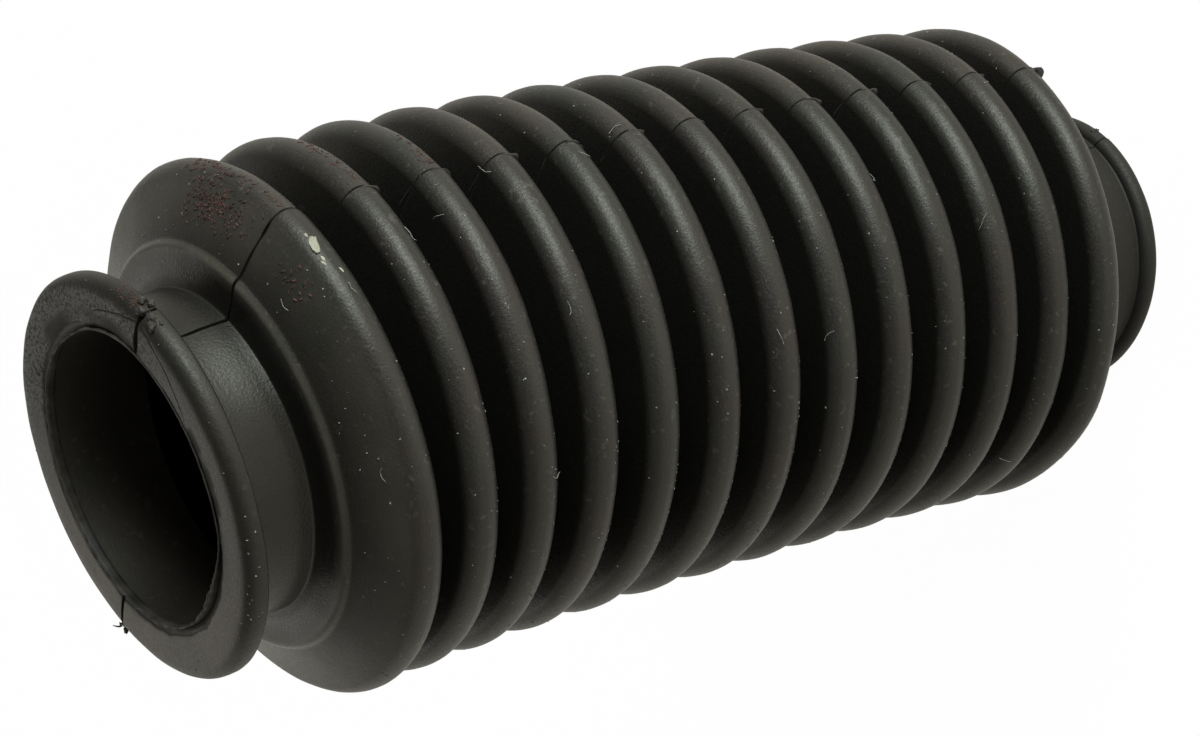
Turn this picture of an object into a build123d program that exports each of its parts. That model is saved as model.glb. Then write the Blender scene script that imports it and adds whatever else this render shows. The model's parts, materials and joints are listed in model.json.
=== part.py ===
from build123d import *
from math import asin, atan2, cos, hypot, radians, sin, tan
import os

# A rubber bellows boot: one moulded piece, open right through, with a row of round-crested folds and a
# lipped neck at each end. All sizes are in millimetres and degrees.
# It stands on the lip of its lower neck: the origin is the centre of that lip's flat end, +Z runs up the
# lower neck's axis, and the folds sag towards +X on the way up.

# The folds. Each is measured from the plane of its crest.
fold_count = 13
fold_pitch = 9.85          # from crest to crest along the axis
crest_radius = 36.0        # the outside of a crest
crest_round = 2.7          # the rounding over a crest
valley_radius = 26.0       # the outside of the wall between two folds
valley_land = 1.2          # the flat width there
wall = 2.2                 # rubber thickness, the same all over

# The shoulder beyond the last crest at either end.
shoulder_radius = 26.9     # the ridge where the shoulder's slope turns into its flat end
shoulder_height = 6.2      # that ridge above the crest
shoulder_rise = 1.0        # how far the flat end rises further on its way in to the neck

# The necks, each pushed over a round seat and held by a hose clip.
upper_bore_radius = 19.5
upper_neck_length = 20.0   # from the last crest to the neck's open end
upper_lip_radius = 26.9
upper_lip_thickness = 2.8
lower_bore_radius = 17.3
lower_neck_length = 24.0
lower_lip_radius = 21.1
lower_lip_thickness = 2.8
upper_lead_in_width = 1.5  # the bevel inside the mouth, measured across the axis
lower_lead_in_width = 0.8
lead_in_depth = 0.7        # and along it

# The sag of the soft folds under their own weight.
sag_below = 4.0            # lean gained from the lowest fold to the middle one
sag_above = 7.9            # lean gained from the middle fold to the highest one
mitre_spare = 0.05         # how far a fold's land runs past its joint before it is trimmed there


def lean_of(fold):
    """How far a fold's axis leans from upright, counting folds from 0 at the bottom."""
    place = 2 * fold / (fold_count - 1) - 1
    if place < 0:
        return sag_below * (1 - place**2)
    return sag_below + sag_above * place**3


def direction_of(fold):
    lean = radians(lean_of(fold))
    return Vector(sin(lean), 0, cos(lean))


def crest_centres():
    """The crests' centres, a pitch apart, each step halfway between its two folds' directions."""
    centres = [Vector(0, 0, lower_neck_length)]
    for fold in range(1, fold_count):
        step = (direction_of(fold - 1) + direction_of(fold)) * (fold_pitch / 2)
        centres.append(centres[-1] + step)
    return centres


def flank(foot):
    """A straight flank from foot, above the crest's plane, out to the crest's round, in (radius, height):
    where it touches the round, and where it would reach the crest's own radius."""
    centre = crest_radius - crest_round
    reach = centre - foot.X
    slope = atan2(foot.Y, reach) - asin(crest_round / hypot(reach, foot.Y))
    touch = Vector(centre + crest_round * sin(slope), crest_round * cos(slope))
    corner = Vector(crest_radius, foot.Y - (crest_radius - foot.X) * tan(slope))
    return touch, corner


def turned_over(point):
    return Vector(point.X, -point.Y)


def inner_side(outline):
    """The outline, which runs upward, with each of its lines moved towards the axis by the wall."""
    sides = [(end - start).normalized() for start, end in zip(outline, outline[1:])]
    inward = [Vector(-side.Y, side.X) for side in sides]
    corners = [outline[0] + inward[0] * wall]
    for corner, one, other in zip(outline[1:], inward, inward[1:]):
        corners.append(corner + (one + other) * (wall / (1 + one.dot(other))))
    corners.append(outline[-1] + inward[-1] * wall)
    return corners


def valley_points():
    """The valley above a crest: the end of its land past the joint, and its corner with the flank."""
    widest_turn = max(lean_of(fold + 1) - lean_of(fold) for fold in range(fold_count - 1))
    past_joint = valley_radius * tan(radians(widest_turn / 2)) + mitre_spare
    corner = Vector(valley_radius, (fold_pitch - valley_land) / 2)
    return Vector(valley_radius, fold_pitch / 2 + past_joint), corner


def revolved(lines):
    """The solid of revolution about Z of a closed outline in (radius, height)."""
    with BuildSketch() as section:
        with BuildLine():
            for line in lines:
                add(line)
        make_face()
    return revolve(Plane.XZ * section.sketch, Axis.Z)


def plain_fold():
    """One fold about its crest's plane, from valley to valley."""
    valley_end, valley_corner = valley_points()
    touch, crest_corner = flank(valley_corner)
    upper = [crest_corner, valley_corner, valley_end]
    lower = [turned_over(point) for point in reversed(upper)]
    inside = inner_side(lower + upper)
    crest = Vector(crest_radius, 0)
    return revolved(
        [
            Polyline(lower[0], lower[1], turned_over(touch)),
            ThreePointArc(turned_over(touch), crest, touch),
            Polyline(touch, valley_corner, valley_end, *reversed(inside), lower[0]),
        ]
    )


def end_fold(bore_radius, neck_length, lip_radius, lip_thickness, bevel_width):
    """The fold at an end, with its shoulder, neck and lip above the crest and a valley below it."""
    valley_end, valley_corner = [turned_over(point) for point in valley_points()]
    valley_touch, valley_side = [turned_over(point) for point in flank(turned_over(valley_corner))]
    neck_radius = bore_radius + wall
    ridge = Vector(shoulder_radius, shoulder_height)
    neck_root = Vector(neck_radius, shoulder_height + shoulder_rise)
    lip_back = Vector(neck_radius, neck_length - lip_thickness)
    touch, shoulder_side = flank(ridge)
    inside = inner_side([valley_end, valley_corner, valley_side, shoulder_side, ridge, neck_root, lip_back])
    rim_round = lip_thickness / 2
    rim_back = Vector(lip_radius - rim_round, neck_length - lip_thickness)
    rim_front = Vector(lip_radius - rim_round, neck_length)
    mouth = Vector(bore_radius + bevel_width, neck_length)
    bevel_end = Vector(bore_radius, neck_length - lead_in_depth)
    return revolved(
        [
            Polyline(valley_end, valley_corner, valley_touch),
            ThreePointArc(valley_touch, Vector(crest_radius, 0), touch),
            Polyline(touch, ridge, neck_root, lip_back, rim_back),
            ThreePointArc(rim_back, Vector(lip_radius, neck_length - rim_round), rim_front),
            Polyline(rim_front, mouth, bevel_end, *reversed(inside[:-1]), valley_end),
        ]
    )


def bellows_boot():
    """The folds set along the sagging axis, each trimmed at its joints, and joined into one piece."""
    centres = crest_centres()
    directions = [direction_of(fold) for fold in range(fold_count)]
    joints = [
        Plane(origin=one + along * (fold_pitch / 2), z_dir=along + onward)
        for one, along, onward in zip(centres, directions, directions[1:])
    ]
    lower_end = end_fold(
        lower_bore_radius, lower_neck_length, lower_lip_radius, lower_lip_thickness, lower_lead_in_width
    )
    upper_end = end_fold(
        upper_bore_radius, upper_neck_length, upper_lip_radius, upper_lip_thickness, upper_lead_in_width
    )
    middle = plain_fold()
    pieces = []
    for fold in range(fold_count):
        place = Plane(origin=centres[fold], x_dir=(0, 1, 0), z_dir=directions[fold])
        if fold == 0:
            piece = place * Rot(X=180) * lower_end
        elif fold == fold_count - 1:
            piece = place * upper_end
        else:
            piece = place * middle
        if fold > 0:
            piece = split(piece, bisect_by=joints[fold - 1], keep=Keep.TOP)
        if fold < fold_count - 1:
            piece = split(piece, bisect_by=joints[fold], keep=Keep.BOTTOM)
        pieces.append(piece)
    return pieces[0].fuse(*pieces[1:])


os.makedirs("parts", exist_ok=True)
export_step(bellows_boot(), "parts/bellows_boot.step")
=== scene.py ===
import json
import math
import random
import bmesh
import bpy
from mathutils import Matrix, Vector, noise
from mathutils.bvhtree import BVHTree


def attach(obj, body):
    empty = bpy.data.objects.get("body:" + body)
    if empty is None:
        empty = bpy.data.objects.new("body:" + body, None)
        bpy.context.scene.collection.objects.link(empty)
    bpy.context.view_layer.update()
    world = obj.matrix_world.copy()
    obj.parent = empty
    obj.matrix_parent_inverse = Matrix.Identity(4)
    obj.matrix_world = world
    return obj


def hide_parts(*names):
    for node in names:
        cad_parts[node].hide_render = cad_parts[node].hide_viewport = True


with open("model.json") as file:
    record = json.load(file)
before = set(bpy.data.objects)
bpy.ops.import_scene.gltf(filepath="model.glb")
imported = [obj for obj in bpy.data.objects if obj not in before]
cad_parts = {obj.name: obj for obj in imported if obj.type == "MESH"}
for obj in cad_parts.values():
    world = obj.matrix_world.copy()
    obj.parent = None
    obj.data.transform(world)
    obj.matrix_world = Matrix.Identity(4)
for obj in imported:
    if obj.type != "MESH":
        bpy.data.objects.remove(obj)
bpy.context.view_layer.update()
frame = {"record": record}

MM = 0.001

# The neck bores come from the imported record, in millimetres as the rest of the boot's sizes here.
mounts = {mount["name"]: mount for mount in frame["record"]["mounts"]}
upper_bore = mounts["upper_neck"]["dims"]["r_mm"]
lower_bore = mounts["lower_neck"]["dims"]["r_mm"]

# The folds, each measured from the plane of its crest, and the rubber's thickness.
fold_count = 13
fold_pitch = 9.85
crest_radius = 36.0
crest_round = 2.7
valley_radius = 26.0
valley_land = 1.2
wall = 2.2
crest_share = 0.98         # how much of the room beside a corner its rounding takes, on a crest
valley_share = 0.8         # and in a valley
large_rounding = 1.2       # a rounding over this gets more faces

# The shoulder beyond the last crest at either end, and the necks with their lips.
shoulder_radius = 26.9
shoulder_height = 6.2
shoulder_rise = 1.0
bead_height = 0.5          # the worn bead along the shoulder's ridge, its grey partly a painted highlight
bead_width = 2.8
bead_foot = 0.8            # how far down the cone it reaches
cone_slope = 0.51          # how much the cone falls there for each millimetre outward
upper_neck_length = 20.0
lower_neck_length = 24.0
upper_lip_radius = 26.9
lower_lip_radius = 21.1
lip_thickness = 2.8
upper_rim = (0.3, 1.95)    # the roundings of the lip's back and front edge, the front one worn
lower_rim = (1.37, 1.37)
upper_lead_in = 1.5
lower_lead_in = 0.8
lead_in_depth = 0.7

# Heights on the boot before it sags, from the lower lip's flat end up.
top_fold = fold_count - 1
highest_crest = lower_neck_length + fold_pitch * top_fold
lip_face = highest_crest + upper_neck_length

# The sag of the folds, in degrees of lean gained below and above the middle fold.
sag_below = 4.0
sag_above = 7.9
neck_sway = Vector((-0.4, 0.2, 0))   # how far the soft upper neck has moved over by its lip
sway_heights = (7.2, 17)             # where that starts and ends, above the highest crest

# The mould's parting plane stands upright through the lower neck's axis at this azimuth, in degrees.
parting_azimuth = 117.2
half_step = 0.1            # how far one half of the mould stood out past the other
groove_edge = 0.1          # where the mesh is cut beside the parting plane
groove_end = 0.34

# Half the parting groove's width, and its depth: torn open over the lip on the side that has the lumps,
# less on the other side, a slit on the neck and a fine line on the folds.
lip_tear = (0.42, 1.4)
small_tear = (0.26, 0.8)
neck_slit = (0.25, 1.5)
fine_line = (0.13, 0.4)
fine_line_growth = (0.08, 0.4)   # how much wider and deeper the fine line gets up the last cone

# The soft parts that stand out of round: azimuth and its spread in degrees, and how far out in millimetres.
swellings = ((168, 24, 0.4, highest_crest), (25, 13, 0.6, lower_neck_length))   # and the crest's height
lip_pushes = ((210, 24, 0.32), (150, 20, -0.3))
clip_waist = (14.3, 3.8, 0.55)   # height above the highest crest, its spread, and how far in

tear_azimuths = (80, 68, 59)     # small dark tears in the edge of the mouth

turns = 160                # faces round the boot
film_turns = 320           # and round the film in its mouth
line_spacing = 1.2         # between the rings of faces on the two ends
sharp_groove = 0.95        # how deep in the parting groove, from 0 to 1, its edges are sharp
# the groove layer carries painted shade in the parting groove and the lip's bevel, as well as the lip's
# grime
# the pale layer carries a painted highlight along the bead and the lip's edge besides the dust
finish_layers = ("wear", "half", "groove", "dull", "pale", "speckled")
ring_scale = 30            # the length of one radian round a ring, as the finish measures it

grain_depth = 0.05         # how deep the bumps of every finish are

floor_size = 6.0
white_share = 0.94         # the rest of the floor is paper, which takes the boot's shadow
camera_white = 1.04        # how bright the camera sees the floor
floor_gloss = 0.8          # and how bright the rubber's gloss sees it
# a painted pool of light on the floor in front of the boot, seen only in the rubber's gloss
painted_light_patch = (0.05, 0.26, 0)
painted_light_gloss = 1.0          # how much brighter that gloss sees the middle of this painted pool of light
room_warmth = (1.0, 0.975, 0.9)
floor_warmth = (1.0, 0.965, 0.87)
white = (1, 1, 1)
low_wall = 0.7             # how bright the room is at the height of the boot, and overhead
ceiling = 0.2
diffuse_share = 0.55       # how much of that brightness lights matt surfaces


# ---- The boot's form ----

def ramp(value, start, end):
    """0 up to start and 1 from end on, with a straight line between them."""
    return min(max((value - start) / (end - start), 0), 1)


def hump(*offsets):
    """1 where every offset is 0, falling smoothly to almost nothing where one is 2 or more."""
    return math.exp(-sum(offset**2 for offset in offsets))


def turn_from(place, azimuth):
    """How far round the boot a place lies from this azimuth, from -180 to 180 degrees."""
    return (math.degrees(math.atan2(place.y, place.x)) - azimuth + 180) % 360 - 180


def towards(place, azimuth):
    """How far a place lies towards this azimuth from the axis, from 1 to -1 for straight away from it."""
    turn = math.radians(azimuth)
    return place.xy.normalized().dot(Vector((math.cos(turn), math.sin(turn))))


def spin_round(mesh, steps):
    """Turns what is drawn beside the axis right round it."""
    bmesh.ops.spin(
        mesh,
        geom=mesh.verts[:] + mesh.edges[:],
        cent=(0, 0, 0),
        axis=(0, 0, 1),
        dvec=(0, 0, 0),
        angle=2 * math.pi,
        steps=steps,
        use_merge=True,
        use_duplicate=False,
    )


def flank_corner(foot_radius, foot_height):
    """Where a straight flank from this foot, tangent to the crest's round, reaches the crest's radius."""
    reach = crest_radius - crest_round - foot_radius
    slope = math.atan2(foot_height, reach) - math.asin(crest_round / math.hypot(reach, foot_height))
    return foot_height - (crest_radius - foot_radius) * math.tan(slope)


def neck_corners(bore, neck_length, lip_radius, rim, lead_in):
    """The outside of one end from its shoulder to its bore, as (radius, height above crest, rounding)."""
    neck_radius = bore + wall
    lip_back = neck_length - lip_thickness
    return [
        (shoulder_radius, shoulder_height, 0.3),
        (neck_radius, shoulder_height + shoulder_rise, 0.3),
        (neck_radius, lip_back, 0.6),
        (lip_radius, lip_back, rim[0]),
        (lip_radius, neck_length, rim[1]),
        (bore + lead_in, neck_length, 0.3),
        (bore, neck_length - lead_in_depth, 0.2),
    ]


def with_bead(corners):
    """An end's corners with the shoulder's ridge replaced by its bead, from the cone to the flat end."""
    slope = shoulder_rise / (shoulder_radius - corners[1][0])
    return [
        (shoulder_radius + bead_foot, shoulder_height - cone_slope * bead_foot, 0.25),
        (shoulder_radius + 0.1, shoulder_height + bead_height, 0.5),
        (shoulder_radius - bead_width, shoulder_height + slope * bead_width, 0.8),
        *corners[1:],
    ]


def outside_corners(beaded):
    """The whole outside from the lower bore to the upper one, as (radius, height, rounding)."""
    valley_height = (fold_pitch - valley_land) / 2
    crest_half = flank_corner(valley_radius, valley_height)
    shoulder_half = flank_corner(shoulder_radius, shoulder_height)
    lower_end = neck_corners(lower_bore, lower_neck_length, lower_lip_radius, lower_rim, lower_lead_in)
    upper_end = neck_corners(upper_bore, upper_neck_length, upper_lip_radius, upper_rim, upper_lead_in)
    if beaded:
        lower_end, upper_end = with_bead(lower_end), with_bead(upper_end)
    corners = [
        (radius, lower_neck_length - height, rounding) for radius, height, rounding in reversed(lower_end)
    ]
    for fold in range(fold_count):
        crest = lower_neck_length + fold * fold_pitch
        below = shoulder_half if fold == 0 else crest_half
        above = shoulder_half if fold == top_fold else crest_half
        if fold > 0:
            corners.append((valley_radius, crest - valley_height, valley_land * valley_share))
        corners.append((crest_radius, crest - below, below * crest_share))
        corners.append((crest_radius, crest + above, above * crest_share))
        if fold < top_fold:
            corners.append((valley_radius, crest + valley_height, valley_land * valley_share))
    corners += [(radius, highest_crest + height, rounding) for radius, height, rounding in upper_end]
    return corners


def inside_corners(outline):
    """An outline of (radius, height) running upward, moved towards the axis by the wall's thickness."""
    points = [Vector(corner) for corner in outline]
    sides = [(end - start).normalized() for start, end in zip(points, points[1:])]
    inward = [Vector((-side.y, side.x)) for side in sides]
    corners = []
    for point, below, above in zip(points[1:], inward, inward[1:]):
        corners.append(point + (below + above) * (wall / (1 + below.dot(above))))
    return [(corner.x, corner.y) for corner in corners]


def section_corners():
    """The closed half-section as (radius, height, rounding, whether it is outside), up and down again. The
    inside follows the outside but for each lip's four corners."""
    path = [(radius, height) for radius, height, _ in outside_corners(False)[4:-4]]
    return [corner + (1.0,) for corner in outside_corners(True)] + [
        (radius, height, 0.3, 0.0) for radius, height in reversed(inside_corners(path))
    ]


def section_wire(mesh):
    """Draws the half-section beside the axis and rounds its corners. A layer keeps what is outside."""
    skin = mesh.verts.layers.float.new("outside")
    corners = section_corners()
    points = []
    for radius, height, _, outside in corners:
        point = mesh.verts.new((radius * MM, 0, height * MM))
        point[skin] = outside
        points.append(point)
    for one, other in zip(points, points[1:] + points[:1]):
        mesh.edges.new((one, other))
    for point, (_, _, rounding, outside) in zip(points, corners):
        bmesh.ops.bevel(
            mesh,
            geom=[point],
            offset=rounding * MM,
            offset_type="OFFSET",
            segments=7 if rounding > large_rounding else 3 if outside else 2,
            profile=0.5,
            affect="VERTICES",
            material=-1,
        )
    divide_ends(mesh, skin)


def divide_ends(mesh, skin):
    """Divides the long lines outside the two end folds, where the rubber's unevenness is seen best."""
    for line in mesh.edges[:]:
        one, other = line.verts
        height = (one.co.z + other.co.z) / 2 / MM
        if one[skin] * other[skin] > 0.9 and not lower_neck_length < height < highest_crest:
            cuts = int(line.calc_length() / (line_spacing * MM))
            if cuts:
                bmesh.ops.subdivide_edges(mesh, edges=[line], cuts=cuts)


def lean_of(fold):
    """How far a fold leans from upright, in radians."""
    place = 2 * fold / top_fold - 1
    return math.radians(sag_below * (1 - place**2) if place < 0 else sag_below + sag_above * place**3)


def fold_centres(leans):
    """The crests' centres, a pitch apart, each step halfway between its two folds' directions."""
    centres = [Vector((0, 0, lower_neck_length * MM))]
    for below, above in zip(leans, leans[1:]):
        step = Vector((math.sin(below) + math.sin(above), 0, math.cos(below) + math.cos(above)))
        centres.append(centres[-1] + step * (fold_pitch * MM / 2))
    return centres


leans = [lean_of(fold) for fold in range(fold_count)]
centres = fold_centres(leans)


def sagged(point):
    """Where a point of the straight boot goes when its folds sag: each fold turns whole, and the rubber
    between two folds shears so that they still meet."""
    pitch = fold_pitch * MM
    along = point.z - lower_neck_length * MM
    fold = min(max(round(along / pitch), 0), top_fold)
    height = along - fold * pitch
    share = min(abs(2 * height / pitch), 1) ** 4
    if height > 0 and fold < top_fold:
        height -= point.x * math.tan((leans[fold + 1] - leans[fold]) / 2) * share
    if height < 0 and fold > 0:
        height += point.x * math.tan((leans[fold] - leans[fold - 1]) / 2) * share
    up = Vector((math.sin(leans[fold]), 0, math.cos(leans[fold])))
    across = Vector((up.z, 0, -up.x))
    place = centres[fold] + up * height + across * point.x + Vector((0, point.y, 0))
    return place + neck_sway * (ramp(point.z / MM - highest_crest, *sway_heights) * MM)


def add_object(name, data):
    """An object of this data in the scene."""
    made = bpy.data.objects.new(name, data)
    bpy.context.scene.collection.objects.link(made)
    return made


def object_of(mesh, name, material):
    """An object of the mesh, made of this material."""
    data = bpy.data.meshes.new(name)
    mesh.to_mesh(data)
    mesh.free()
    data.materials.append(material)
    return add_object(name, data)


def finished(mesh, name, material):
    """A piece of the mesh, smooth, with its faces outward, riding on the boot's only body."""
    bmesh.ops.recalc_face_normals(mesh, faces=mesh.faces)
    for face in mesh.faces:
        face.smooth = True
    piece = object_of(mesh, name, material)
    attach(piece, "root")
    return piece


# ---- The parting line and the moulded skin ----

parting = math.radians(parting_azimuth)
parting_normal = Vector((-math.sin(parting), math.cos(parting), 0))


def cut_beside_parting(mesh):
    """Rings of edges on both sides of the parting plane, which its groove and its step bend at."""
    for offset in (-groove_end, -groove_edge, groove_edge, groove_end):
        bmesh.ops.bisect_plane(
            mesh,
            geom=mesh.verts[:] + mesh.edges[:] + mesh.faces[:],
            dist=1e-7,
            plane_co=parting_normal * (offset * MM),
            plane_no=parting_normal,
        )


def groove_size(place):
    """Half the parting groove's width at this place, and its depth."""
    above = place.z / MM - highest_crest
    if above > upper_neck_length - 1.0:
        return lip_tear if towards(place, parting_azimuth) > 0 else small_tear
    if above > shoulder_height + 0.5:
        return neck_slit
    growth = ramp(above, 0.5, 2.5)
    return tuple(size + more * growth for size, more in zip(fine_line, fine_line_growth))


def open_groove(point, side):
    """Spreads the cuts beside the parting plane to the groove's own width, and sinks its middle."""
    unevenness = noise.noise(point.co * 520)
    half_width, depth = groove_size(point.co)
    half_width *= 1 + 0.7 * unevenness
    if abs(side) < groove_edge / 2:
        point.co -= point.normal * (depth * (1 + 0.3 * unevenness) * MM)
    else:
        flare = 0 if abs(side) < (groove_edge + groove_end) / 2 else 0.22
        point.co += parting_normal * (math.copysign(half_width + flare, side) - side) * MM
    drift = 0.2 * noise.noise(point.co * 130) + 0.13 * noise.noise(point.co * 480)
    point.co += parting_normal * (drift * MM)


def waviness(place):
    """Slow unevenness of the moulded surface, in millimetres."""
    return 0.16 * noise.noise(place * 55) + 0.05 * noise.noise(place * 210)


def in_bore(radius, height):
    """Whether a place on the section is inside the boot's mouth at either end."""
    if height > highest_crest:
        return radius < upper_bore + 0.3
    return height < lower_neck_length and radius < lower_bore + 0.3


def on_bead(radius, above):
    """Whether a place this far above the highest crest is on the upper shoulder's bead."""
    return above > shoulder_height - 0.3 and shoulder_radius - 1.6 < radius < shoulder_radius + 0.7


def wear_of(radius, height):
    """How far the rubber's black skin has gone grey and dusty here: most where it is open to the touch. On
    the bead the grey is partly a painted highlight.
    """
    above = height - highest_crest
    if in_bore(radius, height):
        return 0.5
    if above > upper_neck_length - lip_thickness - 0.2:
        return 1 - 0.7 * ramp(radius, 24.7, 25.6)
    if height < lower_neck_length - shoulder_height - 0.3:
        return 0.25
    # partly a painted highlight: the bead is greyer than anywhere else, for the light line along its ridge
    if on_bead(radius, above):
        return 1.2
    if above > shoulder_height + 0.3:
        return 0.1
    if above > 0 or height < lower_neck_length:
        return 0.35 + 0.65 * ramp(radius, 29, 34.5)
    return ramp(radius, 33.8, 35.3)


def dullness_of(radius, height):
    """How rough the rubber is here: dull in the mouths and on the lower neck, smoothest between folds."""
    above = height - highest_crest
    if height < lower_neck_length - shoulder_height - 0.3 or in_bore(radius, height):
        return 0.6
    if above > upper_neck_length - lip_thickness - 0.2:
        return 0.43 + 0.08 * ramp(radius, 25.4, 26.4)
    if above > shoulder_height + 0.8:
        return 0.41
    if on_bead(radius, above):
        return 0.36
    return 0.31 + 0.12 * wear_of(radius, height)


def swelling(place):
    """Where the two end folds stand out past their round form, in millimetres, and the waist that a clip
    has pressed into the upper neck."""
    radius, height = place.xy.length / MM, place.z / MM
    out = 0
    for azimuth, spread, most, crest in swellings:
        out += most * hump(turn_from(place, azimuth) / spread, (height - crest) / 5)
    middle, spread, depth = clip_waist
    waist = depth * hump((height - highest_crest - middle) / spread) * (1 - ramp(radius, 22, 23))
    return ramp(radius, 28, 36) * out - waist


def brownness_of(side, height):
    """How brown the grey bloom is here: on the lip's face and on one half of the mould."""
    if height > lip_face - 2:
        return 2.0
    return 1.0 if side > 0 else 0.6 * ramp(height - highest_crest, 0, 2)


def paleness_and_highlight_of(place, radius, height):
    """How pale the rubber is here: with dust thinly on the cone and more on one side of the lip's face;
    most at the face's outer edge on that side, which is a painted highlight, and along the bead, a painted
    highlight on its lit side."""
    above = height - highest_crest
    if above > upper_neck_length - 0.6:
        # a painted highlight along the face's outer edge on one side
        edge = ramp(radius, 23.8, 25.2) * ramp(towards(place, 270), 0.9, 0.97)
        return 0.45 * ramp(towards(place, 305), 0.25, 0.8) + 0.5 * edge
    if above > shoulder_height + 1.5:
        return 0
    # a painted highlight along the bead, on the side that the light falls on
    if above > shoulder_height - 0.3:
        return 0.34 * hump((radius - shoulder_radius) / 0.5) * ramp(towards(place, 80), 0, 0.5)
    return 0.18 * ramp(radius, 27.5, 33.5) * (1 - ramp(radius, 34.5, 35.5)) * ramp(above, 0.3, 0.8)


def speckle_of(place, height):
    """How dark the specks are on the lip's face: darkest on one side."""
    if height < lip_face - 0.6:
        return 0
    return 0.3 + 0.65 * ramp(towards(place, 165), 0.1, 0.7)


def lip_oval(place, radius, height):
    """How far the soft upper lip's rim is pushed out or in from its circle, in millimetres."""
    if height < lip_face - lip_thickness - 0.3:
        return 0
    push = sum(most * hump(turn_from(place, azimuth) / spread) for azimuth, spread, most in lip_pushes)
    return push * ramp(radius, 23, 26)


def torn_edge(place, radius, height):
    """How far the edge between the lip's face and its bevel is torn back, in millimetres."""
    if height < lip_face - 0.4 or radius > upper_bore + upper_lead_in + 0.6:
        return 0
    return 0.28 * noise.noise(place * 900) + 0.25 * noise.noise(place * 330)


def grime_and_shade_of(place, radius, height):
    """How dark the lip's face is here: painted shade in most of its bevel, and grime as a smudge on one
    side, as a ring beside the bevel, as a film on the side that the seam tears, and in three small tears."""
    if height < lip_face - 1.3:
        return 0
    bevel_end = upper_bore + upper_lead_in
    # painted shade in the bevel, the recess behind the mouth's film, lighter on one side
    bevel = 1 - ramp(radius, bevel_end - 0.3, bevel_end + 0.1)
    bevel *= 1 - 0.75 * ramp(towards(place, 100), 0.5, 0.8)
    smudge = ramp(towards(place, 150), 0.5, 0.95) * (1 - ramp(radius, 22.5, 25.0))
    ring = 0.6 * (1 - ramp(radius, 22.0, 23.4)) * (1 - ramp(towards(place, 305), -0.2, 0.35))
    film = 0.45 * (1 - ramp(radius, 24.0, 26.0)) * ramp(towards(place, 95), 0.6, 0.9)
    grime = max(smudge, ring, film) * (0.6 + 0.8 * noise.noise(place * 160))
    tears = max(ramp(towards(place, azimuth), 0.9945, 0.9980) for azimuth in tear_azimuths)
    return max(0.8 * bevel, min(grime, 0.8), 0.85 * tears * (1 - ramp(radius, 22.0, 23.2)))


def roughen(mesh):
    """Moves the outside off its perfect form, and keeps what the rubber's finish follows: its wear, the
    mould's half, the parting groove's painted shade with the grime, how dull, pale (in places a painted
    highlight) and speckled it is, and the place round its ring, out from the axis and up. Nothing goes
    below the floor, and the groove's edges are sharp."""
    skin = mesh.verts.layers.float["outside"]
    wear, half, groove, dull, pale, speckled = (mesh.verts.layers.float.new(name) for name in finish_layers)
    rings = mesh.verts.layers.float_vector.new("rings")
    mesh.normal_update()
    for point in mesh.verts:
        side = point.co.dot(parting_normal) / MM
        radius = point.co.xy.length / MM
        height = point.co.z / MM
        point[half] = brownness_of(side, height)
        point[rings] = (math.atan2(point.co.y, point.co.x) * ring_scale, radius, height)
        point[dull] = dullness_of(radius, height)
        point[pale] = paleness_and_highlight_of(point.co, radius, height)
        point[speckled] = speckle_of(point.co, height)
        point[wear] = wear_of(radius, height) if point[skin] > 0.5 else 0.8
        if point[skin] < 0.5 or in_bore(radius, height):
            continue
        point[groove] = grime_and_shade_of(point.co, radius, height)
        step = half_step / 2 * math.exp(-abs(side) / 5)
        out = waviness(point.co) + swelling(point.co) + (-step if side > 0 else step)
        point.co += point.normal * (out * MM)
        spread = torn_edge(point.co, radius, height) + lip_oval(point.co, radius, height)
        point.co.xy += point.co.xy.normalized() * (spread * MM)
        # painted shade: the parting groove is painted near black
        if abs(side) < groove_end * 1.1:
            point[groove] = max(point[groove], 1 - ramp(abs(side), groove_edge * 1.1, groove_end))
            open_groove(point, side)
        point.co.z = max(point.co.z, 0)
    for edge in mesh.edges:
        edge.smooth = min(point[groove] for point in edge.verts) < sharp_groove


def make_boot(material):
    """The whole boot as one moulded piece, and a search tree of its surface for what lies on it."""
    mesh = bmesh.new()
    section_wire(mesh)
    bmesh.ops.rotate(mesh, verts=mesh.verts, cent=(0, 0, 0), matrix=Matrix.Rotation(parting, 3, "Z"))
    spin_round(mesh, turns)
    bmesh.ops.remove_doubles(mesh, verts=mesh.verts, dist=1e-6)
    bmesh.ops.recalc_face_normals(mesh, faces=mesh.faces)
    cut_beside_parting(mesh)
    roughen(mesh)
    for point in mesh.verts:
        point.co = sagged(point.co)
    surface = BVHTree.FromBMesh(mesh)
    boot = finished(mesh, "boot", material)
    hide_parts("bellows_boot")
    return surface


# ---- Places on the boot ----

def place_of(fold, azimuth, radius, height):
    """The place at this radius, and this far above a fold's crest, at this azimuth in degrees."""
    turn = math.radians(azimuth)
    along = lower_neck_length + fold * fold_pitch + height
    return sagged(Vector((radius * math.cos(turn), radius * math.sin(turn), along)) * MM)


def crest_place(fold, azimuth, tilt):
    """A place on a crest's round, tilt degrees above its outermost line."""
    tilt = math.radians(tilt)
    radius = crest_radius - crest_round * (1 - math.cos(tilt))
    return place_of(fold, azimuth, radius, crest_round * math.sin(tilt))


def cone_place(azimuth, radius):
    """A place on the shoulder above the highest crest."""
    slope = shoulder_height - flank_corner(shoulder_radius, shoulder_height)
    out = (radius - shoulder_radius) / (crest_radius - shoulder_radius)
    return place_of(top_fold, azimuth, radius, shoulder_height - slope * out + 0.2)


def lip_place(azimuth, radius, depth=0.0):
    """A place on the upper lip, this far below its face."""
    return place_of(top_fold, azimuth, radius, upper_neck_length - depth)


# ---- Torn rubber left by the mould ----

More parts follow.
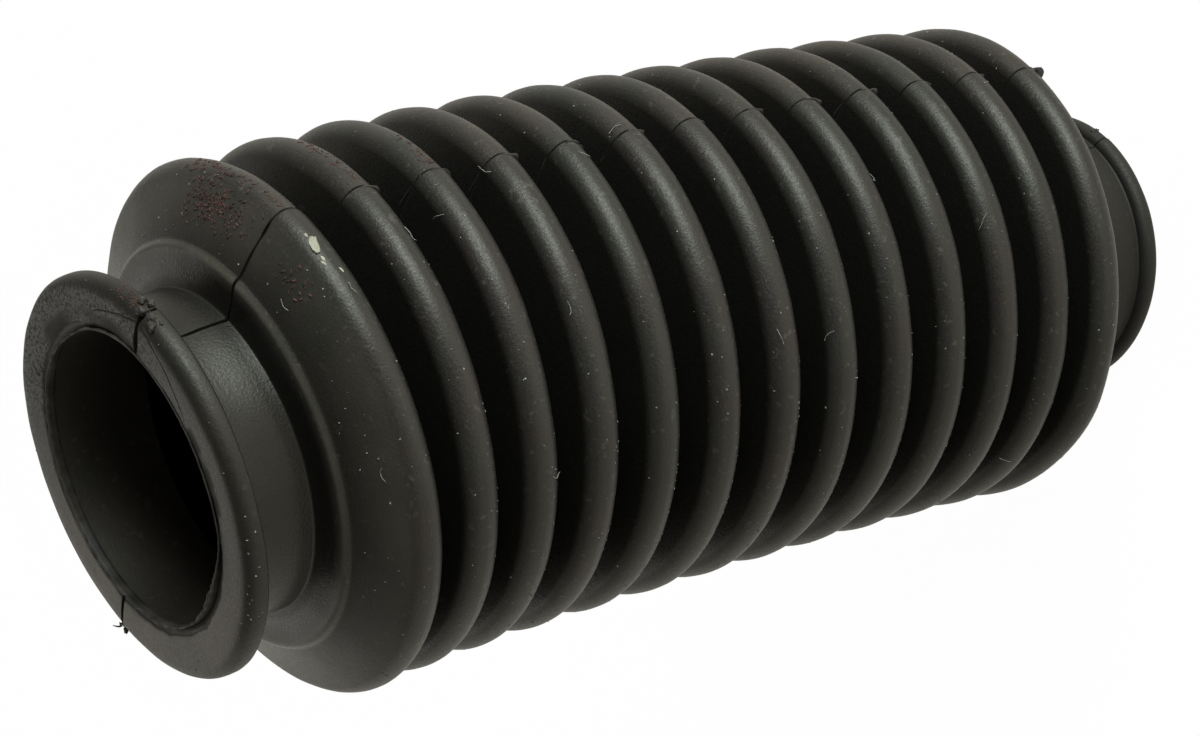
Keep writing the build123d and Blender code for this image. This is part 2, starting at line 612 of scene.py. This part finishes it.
def make_mouth_film(material):
    """Thin flash that stands round the bore's edge in the mouth, its free edge torn. On the side that the
    parting line tears it is pressed back against the bevel."""
    mesh = bmesh.new()
    share = mesh.verts.layers.float.new("share")
    foot = lip_face - lead_in_depth - 0.35
    points = []
    for step in range(4):
        point = mesh.verts.new(((upper_bore + 0.12) * MM, 0, foot * MM))
        point[share] = step / 3
        points.append(point)
    for one, other in zip(points, points[1:]):
        mesh.edges.new((one, other))
    spin_round(mesh, film_turns)
    for point in mesh.verts:
        around = point.co.xy.normalized()
        slow = noise.noise(Vector((around.x, around.y, 0.3)) * 2.2)
        torn = noise.noise(Vector((around.x, around.y, 1.7)) * 24)
        pressed_back = ramp(towards(point.co, 88), 0.35, 0.75)
        rise = (1.35 + 0.35 * slow + 0.35 * torn * point[share]) * (1 - pressed_back) + pressed_back
        lean = (0.1 + 0.5 * slow) * (1 - pressed_back) + 0.12 * torn - 1.3 * pressed_back
        point.co.z += rise * point[share] * MM
        point.co.xy -= around * (lean * point[share] ** 1.5 * MM)
    bmesh.ops.remove_doubles(mesh, verts=mesh.verts, dist=1e-6)
    bmesh.ops.recalc_face_normals(mesh, faces=mesh.faces)
    bmesh.ops.solidify(mesh, geom=mesh.faces[:], thickness=0.2 * MM)
    for point in mesh.verts:
        point.co = sagged(point.co)
    finished(mesh, "mouth_film", material)


def make_flash_fins(material):
    """A short irregular fin of flash over each crest's far side on the parting line, tallest on the lowest
    fold. Each starts as the line of its foot, which is drawn out to its free edge."""
    mesh = bmesh.new()
    azimuth = parting_azimuth - 0.15
    for fold in range(fold_count):
        middle = place_of(fold, azimuth, crest_radius - crest_round, 0)
        edges, rises = [], {}
        last = None
        for tilt in range(8, -112 if fold == 0 else -100, -9):
            place = crest_place(fold, azimuth, tilt)
            out = (place - middle).normalized()
            foot = mesh.verts.new(place - out * (0.15 * MM))
            ragged = noise.noise(Vector((fold * 3.7, tilt * 0.045, 0.5)))
            if fold == 0:
                rise = (1.15 + 0.4 * ragged) * ramp(-tilt, 28, 44) * (1 - ramp(-tilt, 80, 112))
            else:
                rise = max(0.5 * hump((tilt + 52) / 16) * (1 + 1.2 * ragged), 0) + 0.12 * ragged
            rises[foot] = out * ((0.22 + rise) * MM)
            if last:
                edges.append(mesh.edges.new((last, foot)))
            last = foot
        grown = bmesh.ops.extrude_edge_only(mesh, edges=edges)["geom"]
        free_edge = [item for item in grown if isinstance(item, bmesh.types.BMVert)]
        for foot, rise in rises.items():
            tip = min(free_edge, key=lambda point: (point.co - foot.co).length)
            tip.co += rise + parting_normal * (0.25 * MM * noise.noise(tip.co * 700))
    bmesh.ops.solidify(mesh, geom=mesh.faces[:], thickness=0.13 * MM)
    finished(mesh, "flash_fins", material)


def torn_lump(mesh, place, size, seed):
    """A ragged crumb of rubber."""
    made = bmesh.ops.create_icosphere(mesh, subdivisions=3, radius=1)["verts"]
    shift = Vector((seed * 3.1, seed * 1.7, seed * 0.9))
    for point in made:
        ragged = 0.3 * noise.noise(point.co * 3.2 + shift) + 0.2 * noise.noise(point.co * 7 + shift)
        point.co *= 1 + 0.55 * noise.noise(point.co * 1.3 + shift) + ragged
        point.co = place + Vector((point.co.x * size[0], point.co.y * size[1], point.co.z * size[2])) * MM


def make_torn_lumps(material):
    """Crumbs of rubber torn out where the parting line crosses the upper lip's rim, a few where it crosses
    the other side of it, and two on the lower lip."""
    mesh = bmesh.new()
    chance = random.Random(5)
    middle = 1.2           # how far below the lip's face the crumbs are centred
    for number in range(17):
        azimuth = parting_azimuth + chance.uniform(-5.5, 4.5)
        place = lip_place(azimuth, chance.uniform(26.2, 27.2), middle - chance.uniform(-1.3, 0.9))
        wide = chance.uniform(0.28, 0.62)
        size = (wide, wide * chance.uniform(0.5, 1), wide * chance.uniform(0.5, 0.9))
        torn_lump(mesh, place, size, number)
    for number in range(4):
        azimuth = parting_azimuth + 180 + chance.uniform(-1.6, 1.2)
        place = lip_place(azimuth, chance.uniform(26.3, 27.3), middle - chance.uniform(-0.4, 0.9))
        wide = chance.uniform(0.25, 0.45)
        torn_lump(mesh, place, (wide, wide, wide * 0.7), number + 20)
    for azimuth, rise in ((123.4, 1.2), (124.2, 1.7)):
        place = place_of(0, azimuth, lower_lip_radius - 0.1, rise - lower_neck_length)
        torn_lump(mesh, place, (0.36, 0.32, 0.4), 40 + rise)
    finished(mesh, "torn_lumps", material)


def thread_curve(thickness):
    """A curve object that threads are laid in, each a round tube with closed ends."""
    curve = bpy.data.curves.new("threads", "CURVE")
    curve.dimensions = "3D"
    curve.bevel_depth = thickness / 2 * MM
    curve.bevel_resolution = 1
    curve.resolution_u = 5
    curve.use_fill_caps = True
    return curve


def threads_piece(curve, name, material):
    """Makes a piece of the threads' tubes."""
    holder = bpy.data.objects.new(name, curve)
    mesh = bmesh.new()
    mesh.from_mesh(bpy.data.meshes.new_from_object(holder))
    bpy.data.objects.remove(holder)
    bmesh.ops.remove_doubles(mesh, verts=mesh.verts, dist=1e-8)
    finished(mesh, name, material)


def add_thread(curve, points, widths=None):
    """One thread through these places, as thick along it as the widths say."""
    spline = curve.splines.new("NURBS")
    spline.points.add(len(points) - 1)
    for number, (knot, place) in enumerate(zip(spline.points, points)):
        knot.co = (*place, 1)
        knot.radius = widths[number] if widths else 1
    spline.order_u = 3
    spline.use_endpoint_u = True


def make_torn_threads(material):
    """Torn threads of flash: two hooks at the lip's parting line, one in the mouth, strands on flanks."""
    curve = thread_curve(0.34)
    hooks = [
        [(296.9, 25.6, 0.4), (296.4, 26.7, 0.5), (295.3, 27.4, 0.3), (294.3, 27.2, -0.3)],
        [(297.6, 25.9, 0.7), (298.2, 26.6, 0.8), (298.5, 27.0, 1.1)],
        [(203.5, 21.0, -0.3), (202.0, 22.2, -0.6), (200.4, 22.9, -0.3)],
    ]
    for hook in hooks:
        add_thread(curve, [lip_place(*spot) for spot in hook], [0.75] * (len(hook) - 1) + [0.3])
    chance = random.Random(11)
    for fold in (3, 6, 7, 8, 9, 10):
        azimuth = parting_azimuth + chance.uniform(0.2, 0.9)
        spots = [(35.2, 1.55), (34.0, 2.45), (32.5, 2.85), (30.5, 3.15 + chance.uniform(0, 0.6))]
        drift = chance.uniform(-1.2, 1.2)
        points = [
            place_of(fold, azimuth + drift * step / 3, radius, height)
            for step, (radius, height) in enumerate(spots)
        ]
        add_thread(curve, points, [0.5, 0.4, 0.35, 0.2])
    threads_piece(curve, "torn_threads", material)


# ---- Dust and lint ----

def rest_on(surface, place, size, turn):
    """A flat grain's transform where it lies on the surface at this place, half sunk in it."""
    foot, normal, _, _ = surface.find_nearest(place)
    level = normal.to_track_quat("Z", "Y").to_matrix().to_4x4()
    turned = level @ Matrix.Rotation(turn, 4, "Z")
    return Matrix.Translation(foot) @ turned @ Matrix.Diagonal((*size, 1))


def scatter(name, material, surface, places, sizes, slimness, seed):
    """Small flat grains, one at each place, between the two sizes in millimetres and with a random turn."""
    mesh = bmesh.new()
    chance = random.Random(seed)
    smallest, largest = sizes
    for place in places:
        long = chance.uniform(smallest, largest) * MM / 2
        wide = long * chance.uniform(0.6, 1.4) * slimness
        matrix = rest_on(surface, place, (long, wide, 0.09 * MM), chance.uniform(0, math.pi))
        bmesh.ops.create_icosphere(mesh, subdivisions=1, radius=1, matrix=matrix)
    finished(mesh, name, material)


def pale_dust_places():
    """Pale dust: over all crests and under their edges, on the cone, and on the lip's rim and face."""
    chance = random.Random(3)
    places = []
    for _ in range(330):
        fold = chance.randrange(fold_count)
        azimuth = chance.triangular(-40, 175, 85)
        places.append(crest_place(fold, azimuth, chance.triangular(-60, 80, 25)))
    for _ in range(260):
        fold = chance.randrange(top_fold)
        places.append(crest_place(fold, chance.triangular(-12, 70, 22), chance.triangular(-70, 10, -38)))
    for _ in range(45):
        places.append(cone_place(chance.uniform(20, 170), chance.uniform(28, 35)))
    for _ in range(13):
        rim = chance.uniform(0.1, 1.9)
        places.append(lip_place(chance.uniform(20, 58), 27.0 - 0.4 * rim, 2 - rim))
    for _ in range(40):
        places.append(lip_place(chance.uniform(0, 360), chance.uniform(21.5, 27)))
    return places


def red_dust_places():
    """Reddish dust beside the parting line: thick on the cone and thinner on the three highest crests."""
    chance = random.Random(8)
    places = [
        cone_place(chance.triangular(119, 147, 137), chance.triangular(29.5, 35.5, 33)) for _ in range(260)
    ]
    for fold, azimuths, tilts, count in (
        (12, (118, 150), (-10, 45, 5), 90),
        (11, (120, 140), (-35, 20, -18), 45),
        (10, (119, 132), (-35, 20, -15), 28),
    ):
        for _ in range(count):
            places.append(crest_place(fold, chance.uniform(*azimuths), chance.triangular(*tilts)))
    places += [cone_place(chance.triangular(98, 113, 106), chance.uniform(31, 34.5)) for _ in range(26)]
    return places


def rim_dust_places():
    """The same dust in finer crumbs on the lip's rim, beside the torn lumps."""
    chance = random.Random(12)
    return [
        lip_place(chance.triangular(113, 133, 126), chance.uniform(26.0, 26.9), chance.uniform(0.6, 2.2))
        for _ in range(130)
    ]


def make_flakes(material, surface):
    """Cream flakes of something dried on the highest crest: one long one and its crumbs."""
    mesh = bmesh.new()
    flakes = [
        (107.0, 6, 2.9, 1.0), (109.4, 10, 0.7, 0.4), (103.2, 12, 0.8, 0.4),
        (102.2, 17, 0.8, 0.35), (99.6, -14, 0.8, 0.35),
    ]
    for number, (azimuth, tilt, long, wide) in enumerate(flakes):
        place = crest_place(top_fold, azimuth, tilt)
        turn = math.radians(-8 + 11 * number)
        matrix = rest_on(surface, place, (long * MM / 2, wide * MM / 2, 0.1 * MM), turn)
        made = bmesh.ops.create_icosphere(mesh, subdivisions=3, radius=1)["verts"]
        for point in made:
            edge = 1 + 0.5 * noise.noise(point.co * 1.6 + Vector((number * 5, 0, 0)))
            point.co = matrix @ Vector((point.co.x * edge, point.co.y * edge, point.co.z))
    finished(mesh, "dried_flakes", material)


def make_lint(material, surface):
    """Fine fibres that have settled on the folds, each held where it starts and lying loosely."""
    curve = thread_curve(0.075)
    chance = random.Random(21)
    on_crests = [
        (12, 94, -13), (11, 101, -35), (10, 106, 55), (9, 118, 70), (1, 14, 60), (5, 60, 70),
        (7, 119, 55), (8, 112, -40), (6, 62, 20), (10, 48, -10), (4, 92, -35), (2, 80, 30),
    ]
    starts = [crest_place(*start) for start in on_crests]
    for place in starts + [cone_place(100, 30), cone_place(60, 33), crest_place(9, 78, 45)]:
        heading = Vector([chance.uniform(-1, 1) for _ in range(3)])
        points = []
        for _ in range(5):
            foot, normal, _, _ = surface.find_nearest(place)
            points.append(foot + normal * (chance.uniform(0.05, 0.45) * MM))
            heading = (heading - normal * heading.dot(normal)).normalized()
            heading += Vector([chance.uniform(-0.5, 0.5) for _ in range(3)])
            place = foot + heading.normalized() * (chance.uniform(0.3, 0.8) * MM)
        add_thread(curve, points)
    threads_piece(curve, "lint", material)


# ---- Materials ----

def add_node(tree, kind, values=None, **settings):
    """A node of this kind, with its settings and the values of its own sockets."""
    node = tree.nodes.new("ShaderNode" + kind)
    for setting, value in settings.items():
        setattr(node, setting, value)
    for socket, value in (values or {}).items():
        node.inputs[socket].default_value = value
    return node


def join(source, target):
    """Links a socket to another in the tree that both are in."""
    source.id_data.links.new(source, target)


def blend_of(factor, first, second):
    """A colour between two, each a colour or a socket, by a mask."""
    mix = add_node(factor.id_data, "Mix", data_type="RGBA")
    join(factor, mix.inputs[0])
    for socket, colour in ((mix.inputs[6], first), (mix.inputs[7], second)):
        if isinstance(colour, tuple):
            socket.default_value = (*colour, 1)
        else:
            join(colour, socket)
    return mix.outputs[2]


def reached(value, start, end, low=0.0, high=1.0, **settings):
    """A value brought from start and end to low and high, and kept between them."""
    limits = {"From Min": start, "From Max": end, "To Min": low, "To Max": high}
    node = add_node(value.id_data, "MapRange", limits, **settings)
    join(value, node.inputs["Value"])
    return node.outputs["Result"]


def arithmetic(operation, first, second=None):
    """The result of an operation on a socket and, for most operations, a second socket or a number."""
    node = add_node(first.id_data, "Math", operation=operation)
    join(first, node.inputs[0])
    if isinstance(second, (int, float)):
        node.inputs[1].default_value = second
    elif second is not None:
        join(second, node.inputs[1])
    return node.outputs[0]


def product(first, second):
    return arithmetic("MULTIPLY", first, second)


def texture_at(place, kind, values, **settings):
    """The value of a texture of this kind, read at these coordinates."""
    texture = add_node(place.id_data, "Tex" + kind, values, **settings)
    join(place, texture.inputs["Vector"])
    return texture.outputs[0]


def moulded_grain():
    """A node group: the grain of moulded rubber, as a fine value, slow patches and a height."""
    group = bpy.data.node_groups.new("moulded_grain", "ShaderNodeTree")
    sockets = group.interface
    for name, value in (("Grain Scale", 3200.0), ("Patch Scale", 90.0)):
        socket = sockets.new_socket(name, in_out="INPUT", socket_type="NodeSocketFloat")
        socket.default_value = value
    for name in ("Grain", "Patches", "Height"):
        sockets.new_socket(name, in_out="OUTPUT", socket_type="NodeSocketFloat")
    inside, outside = group.nodes.new("NodeGroupInput"), group.nodes.new("NodeGroupOutput")
    place = add_node(group, "TexCoord").outputs["Object"]
    fine = texture_at(place, "Noise", {"Detail": 3.0, "Roughness": 0.6})
    slow = texture_at(place, "Noise", {"Detail": 4.0, "Roughness": 0.55})
    pits = texture_at(place, "Voronoi", {}, feature="F1")
    grain_scale, patch_scale = inside.outputs["Grain Scale"], inside.outputs["Patch Scale"]
    join(grain_scale, fine.node.inputs["Scale"])
    join(patch_scale, slow.node.inputs["Scale"])
    join(product(grain_scale, 0.85), pits.node.inputs["Scale"])
    join(reached(fine, 0.3, 0.7), outside.inputs["Grain"])
    join(reached(slow, 0.36, 0.64), outside.inputs["Patches"])
    height = arithmetic("ADD", fine, product(pits, 0.5))
    join(height, outside.inputs["Height"])
    return group


def new_material(name, grain, grain_scale, patch_scale):
    """A material with a grain group placed in it. Gives the material, its tree, shader and grain."""
    material = bpy.data.materials.new(name)
    material.use_nodes = True
    tree = material.node_tree
    pattern = add_node(tree, "Group", node_tree=grain)
    pattern.inputs["Grain Scale"].default_value = grain_scale
    pattern.inputs["Patch Scale"].default_value = patch_scale
    return material, tree, tree.nodes["Principled BSDF"], pattern


def add_bump(shader, height, strength):
    """Bumps of this height on the shader's surface."""
    bump = add_node(height.id_data, "Bump", {"Strength": strength, "Distance": grain_depth * MM})
    join(height, bump.inputs["Height"])
    join(bump.outputs["Normal"], shader.inputs["Normal"])


def mould_lines(rings):
    """Faint lines that the turned mould has left along every ring."""
    stretch = add_node(rings.id_data, "Mapping", {"Scale": (0.03, 2.2, 2.2)})
    join(rings, stretch.inputs["Vector"])
    return texture_at(stretch.outputs["Vector"], "Noise", {"Scale": 1.0, "Detail": 2.0})


def face_crease(rings, patches):
    """A mask of the thin crease in the lip's face: an arch that meets the parting line near the rim. The
    mask dips the bump and paints the crease's shade dark.
    """
    middle, radius = 60.74, 26.1     # where it meets the line, round the ring and out from the axis
    fall, wander = 0.248, 0.6        # how steeply it leaves the rim on both sides, and how unevenly
    axes = add_node(rings.id_data, "SeparateXYZ")
    join(rings, axes.inputs[0])
    away = arithmetic("ABSOLUTE", arithmetic("SUBTRACT", axes.outputs["X"], middle))
    out = arithmetic("ADD", axes.outputs["Y"], product(away, fall))
    out = arithmetic("ADD", out, product(patches, wander))
    line = arithmetic("ABSOLUTE", arithmetic("SUBTRACT", out, radius))
    line = product(reached(line, 0.06, 0.24, 1, 0), reached(away, 13, 17, 1, 0))
    return product(line, reached(axes.outputs["Z"], lip_face - 0.3, lip_face - 0.1))


def boot_rubber(grain):
    """Black satin rubber, gone grey and dusty on the crests and lips and still fresh between the folds."""
    material, tree, shader, pattern = new_material("boot_rubber", grain, 3200, 75)
    wear, half, groove, dull, pale, speckled = (
        add_node(tree, "Attribute", attribute_name=name).outputs["Fac"] for name in finish_layers
    )
    rings = add_node(tree, "Attribute", attribute_name="rings").outputs["Vector"]
    place = add_node(tree, "TexCoord").outputs["Object"]
    patches, fine = pattern.outputs["Patches"], pattern.outputs["Grain"]
    fresh, grey = (0.0068, 0.0064, 0.0056), (0.024, 0.0245, 0.0205)
    purple, brown = (0.026, 0.0205, 0.0195), (0.055, 0.043, 0.029)
    dust, chalk_and_highlight, shade_and_grime = (0.10, 0.092, 0.075), (0.19, 0.175, 0.14), (0.0015, 0.0015, 0.0014)
    bloom = blend_of(patches, grey, purple)
    bloom = blend_of(product(product(half, patches), 0.5), bloom, brown)
    worn = blend_of(product(wear, reached(fine, 0, 1, 0.35, 1.0)), fresh, bloom)
    grains = texture_at(place, "Noise", {"Scale": 950.0, "Detail": 2.0})
    dusty = product(product(reached(grains, 0.62, 0.74), wear), 0.5)
    worn = blend_of(dusty, worn, dust)
    # the chalk is pale dust, and on the bead and the lip's edge a painted highlight
    worn = blend_of(product(pale, reached(patches, 0, 1, 0.6, 1.3)), worn, chalk_and_highlight)
    mottle = texture_at(place, "Noise", {"Scale": 2300.0, "Detail": 4.0, "Roughness": 0.7})
    specks = product(reached(mottle, 0.39, 0.57), speckled)
    worn = blend_of(product(specks, 0.9), worn, fresh)
    crease = face_crease(rings, patches)
    # painted shade: the parting groove, the lip's bevel and its crease go near black, besides the grime on
    # the lip's face
    dark = arithmetic("MAXIMUM", groove, product(crease, 0.9))
    colour = blend_of(dark, worn, shade_and_grime)
    join(colour, shader.inputs["Base Color"])
    uneven = arithmetic("ADD", dull, reached(fine, 0, 1, -0.08, 0.10))
    rough = arithmetic("MAXIMUM", uneven, product(dark, 0.9))
    rough = arithmetic("MAXIMUM", rough, product(specks, 0.75))
    join(rough, shader.inputs["Roughness"])
    shader.inputs["Specular Tint"].default_value = (1.0, 0.95, 0.82, 1)
    lines = product(mould_lines(rings), 0.3)
    height = arithmetic("ADD", pattern.outputs["Height"], lines)
    height = arithmetic("SUBTRACT", height, product(crease, 2.0))
    add_bump(shader, height, 0.7)
    return material


def speckled_finish(name, grain, light, dark, roughness):
    """A rough finish that varies between a light and a dark colour over its patches and grain."""
    material, _, shader, pattern = new_material(name, grain, 900, 300)
    fine = pattern.outputs["Grain"]
    colour = blend_of(pattern.outputs["Patches"], dark, light)
    colour = blend_of(product(fine, 0.5), colour, dark)
    join(colour, shader.inputs["Base Color"])
    rough = reached(fine, 0, 1, roughness - 0.1, roughness + 0.1)
    join(rough, shader.inputs["Roughness"])
    add_bump(shader, pattern.outputs["Height"], 0.5)
    return material


# ---- Floor, camera and lights ----

def make_floor():
    """White paper, which the camera sees as plain white and the gloss of the rubber as white with a painted
    pool of light in front of the boot.
    """
    mesh = bmesh.new()
    bmesh.ops.create_grid(mesh, x_segments=1, y_segments=1, size=floor_size / 2)
    material = bpy.data.materials.new("floor")
    material.use_nodes = True
    tree = material.node_tree
    paper = tree.nodes["Principled BSDF"]
    paper.inputs["Base Color"].default_value = (0.85, 0.85, 0.85, 1)
    paper.inputs["Roughness"].default_value = 0.9
    rays = add_node(tree, "LightPath").outputs
    seen = arithmetic("MAXIMUM", rays["Is Camera Ray"], rays["Is Glossy Ray"])
    seen = arithmetic("MAXIMUM", seen, rays["Is Transmission Ray"])
    glow = add_node(tree, "Emission")
    join(floor_white(rays["Is Glossy Ray"]), glow.inputs["Strength"])
    join(blend_of(rays["Is Glossy Ray"], white, floor_warmth), glow.inputs["Color"])
    mix = add_node(tree, "MixShader")
    join(product(seen, white_share), mix.inputs["Fac"])
    join(paper.outputs["BSDF"], mix.inputs[1])
    join(glow.outputs["Emission"], mix.inputs[2])
    join(mix.outputs["Shader"], tree.nodes["Material Output"].inputs["Surface"])
    floor = object_of(mesh, "floor", material)


def floor_white(glossy_ray):
    """How bright the floor's white is: plain white to the camera. The rubber's gloss sees it a little
    dimmer, but for a painted pool of light in front of the boot, a brighter glow there that no lamp casts."""
    tree = glossy_ray.id_data
    away = add_node(tree, "VectorMath", {1: painted_light_patch}, operation="DISTANCE")
    join(add_node(tree, "TexCoord").outputs["Object"], away.inputs[0])
    # the painted pool of light, brightest at its middle
    lit = reached(away.outputs["Value"], 0.03, 0.2, floor_gloss + painted_light_gloss, floor_gloss)
    dim = add_node(tree, "MapRange", {"To Min": camera_white})
    join(glossy_ray, dim.inputs["Value"])
    join(lit, dim.inputs["To Max"])
    return dim.outputs["Result"]


def make_camera():
    """The camera stands above the boot and to one side, turned so that the boot lies across its frame."""
    eye = Vector((105.48, 279.47, 269.04)) * MM
    aim = Vector((6.43, -3.62, 87.88)) * MM
    roll = math.radians(-99.12)
    camera = bpy.data.cameras.new("camera")
    camera.lens = 74.48
    camera.sensor_width = 36
    viewer = add_object("camera", camera)
    level = (aim - eye).to_track_quat("-Z", "Y").to_matrix().to_4x4()
    viewer.matrix_world = Matrix.Translation(eye) @ level @ Matrix.Rotation(roll, 4, "Z")
    bpy.context.scene.camera = viewer


def make_world():
    """A white room, bright low down and dimmer overhead. The camera itself sees only white."""
    world = bpy.data.worlds.new("world")
    world.use_nodes = True
    tree = world.node_tree
    background = tree.nodes["Background"]
    rays = add_node(tree, "LightPath").outputs
    axes = add_node(tree, "SeparateXYZ")
    join(add_node(tree, "TexCoord").outputs["Generated"], axes.inputs[0])
    walls = reached(axes.outputs["Z"], 0.0, 0.5, low_wall, ceiling, interpolation_type="SMOOTHSTEP")
    lit = product(walls, reached(rays["Is Diffuse Ray"], 0, 1, 1.0, diffuse_share))
    strength = add_node(tree, "Mix", {"B": 1.0})
    join(rays["Is Camera Ray"], strength.inputs["Factor"])
    join(lit, strength.inputs["A"])
    join(strength.outputs["Result"], background.inputs["Strength"])
    colour = blend_of(rays["Is Camera Ray"], room_warmth, white)
    join(colour, background.inputs["Color"])
    bpy.context.scene.world = world


def make_lamp(name, direction, distance, size, power, colour):
    """A soft square lamp that faces the middle of the boot from this direction."""
    middle = Vector((0.005, 0, 0.085))
    lamp = bpy.data.lights.new(name, "AREA")
    lamp.shape = "SQUARE"
    lamp.size = size
    lamp.energy = power
    lamp.color = colour
    outward = Vector(direction).normalized()
    facing = (-outward).to_track_quat("-Z", "Y").to_matrix().to_4x4()
    add_object(name, lamp).matrix_world = Matrix.Translation(middle + outward * distance) @ facing


bpy.context.scene.view_settings.view_transform = "Standard"
grain = moulded_grain()
torn_rubber = speckled_finish("torn_rubber", grain, (0.08, 0.07, 0.056), (0.022, 0.019, 0.016), 0.6)
surface = make_boot(boot_rubber(grain))
make_mouth_film(torn_rubber)
make_flash_fins(torn_rubber)
make_torn_lumps(torn_rubber)
make_torn_threads(torn_rubber)
pale_dust = speckled_finish("pale_dust", grain, (0.42, 0.41, 0.36), (0.10, 0.10, 0.09), 0.85)
scatter("pale_dust", pale_dust, surface, pale_dust_places(), (0.14, 0.42), 0.65, 17)
red_dust = speckled_finish("red_dust", grain, (0.15, 0.062, 0.042), (0.045, 0.024, 0.018), 0.85)
scatter("red_dust", red_dust, surface, red_dust_places(), (0.3, 1.1), 0.28, 18)
scatter("rim_dust", red_dust, surface, rim_dust_places(), (0.14, 0.42), 0.7, 19)
make_flakes(speckled_finish("dried_cream", grain, (0.62, 0.58, 0.43), (0.36, 0.33, 0.24), 0.8), surface)
make_lint(speckled_finish("lint_fibre", grain, (0.5, 0.48, 0.43), (0.3, 0.29, 0.26), 0.8), surface)
make_floor()
make_camera()
make_world()
make_lamp("key", (-0.471, 0.845, 0.16), 0.9, 0.55, 8.8, (0.86, 0.97, 1.0))
make_lamp("rim", (-0.05, -0.81, 0.586), 1.1, 0.9, 1.3, (1.0, 0.96, 0.92))
